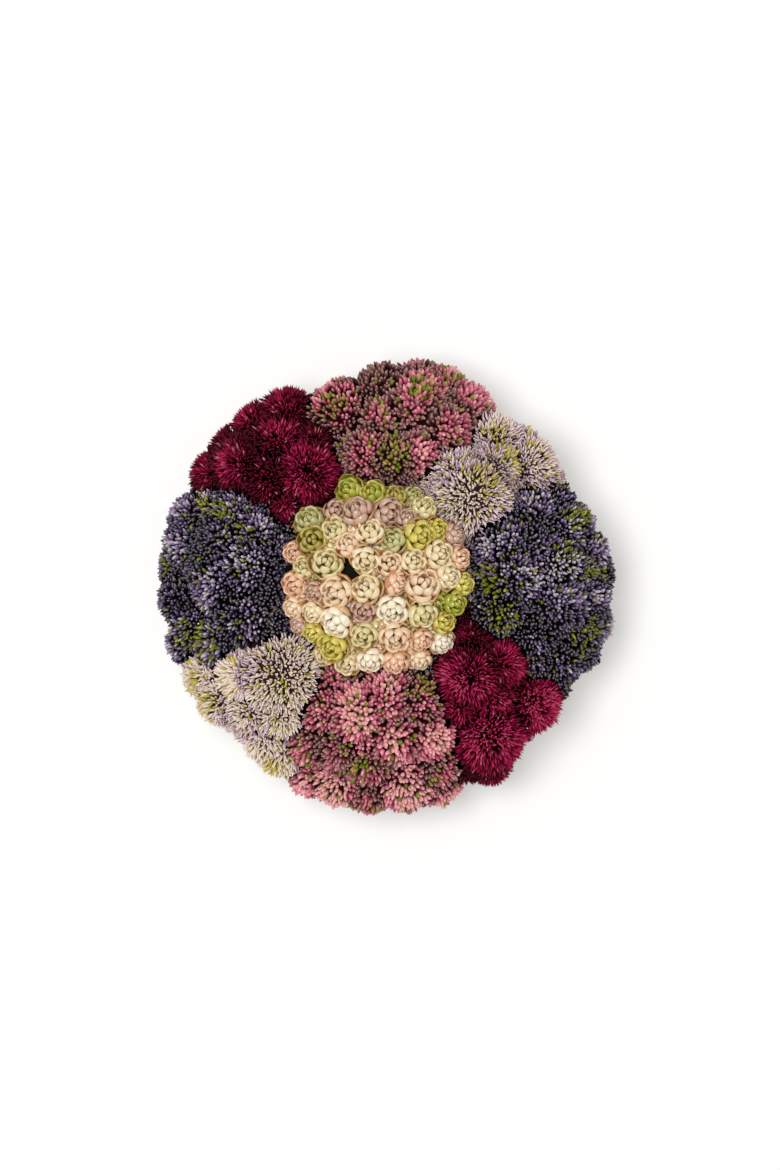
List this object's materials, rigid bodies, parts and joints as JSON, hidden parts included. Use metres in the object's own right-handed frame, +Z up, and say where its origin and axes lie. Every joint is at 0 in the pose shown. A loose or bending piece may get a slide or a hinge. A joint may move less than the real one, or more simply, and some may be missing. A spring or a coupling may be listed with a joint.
{
  "type": "sedum arrangement",
  "caption": "Low domed flower arrangement: domed sedum heads round a raised dome of small rosettes, on stems in foam in a low round bowl",
  "frame": {"origin": "centre of the bowl's flat foot, on the surface it stands on", "axes": "+Z is up; seen from above, +X is to the right and +Y is away from the viewer"},
  "size_m": [0.2534, 0.2535, 0.1249],
  "materials": {
    "bowl": "glossy cream glaze",
    "foam": "matte, fine open cells",
    "stem": "matte green",
    "pink": "dusty pink buds",
    "burgundy": "deep red buds",
    "lavender": "pale lilac and cream buds",
    "purple": "muted violet and green buds",
    "rosette": "cream, peach and pale green leaves"
  },
  "bodies": {
    "root": {"bowl": "bowl", "foam": "foam", "head_pink_top": "pink", "head_pink_bottom": "pink", "head_burgundy_left": "burgundy", "head_burgundy_right": "burgundy", "head_lavender_right": "lavender", "head_lavender_left": "lavender", "head_purple_left": "purple", "head_purple_right": "purple", "rosette_head": "rosette", "stem_pink_top": "stem", "stem_pink_bottom": "stem", "stem_burgundy_left": "stem", "stem_burgundy_right": "stem", "stem_lavender_right": "stem", "stem_lavender_left": "stem", "stem_purple_left": "stem", "stem_purple_right": "stem", "stem_rosettes": "stem"}
  },
  "joints": []
}
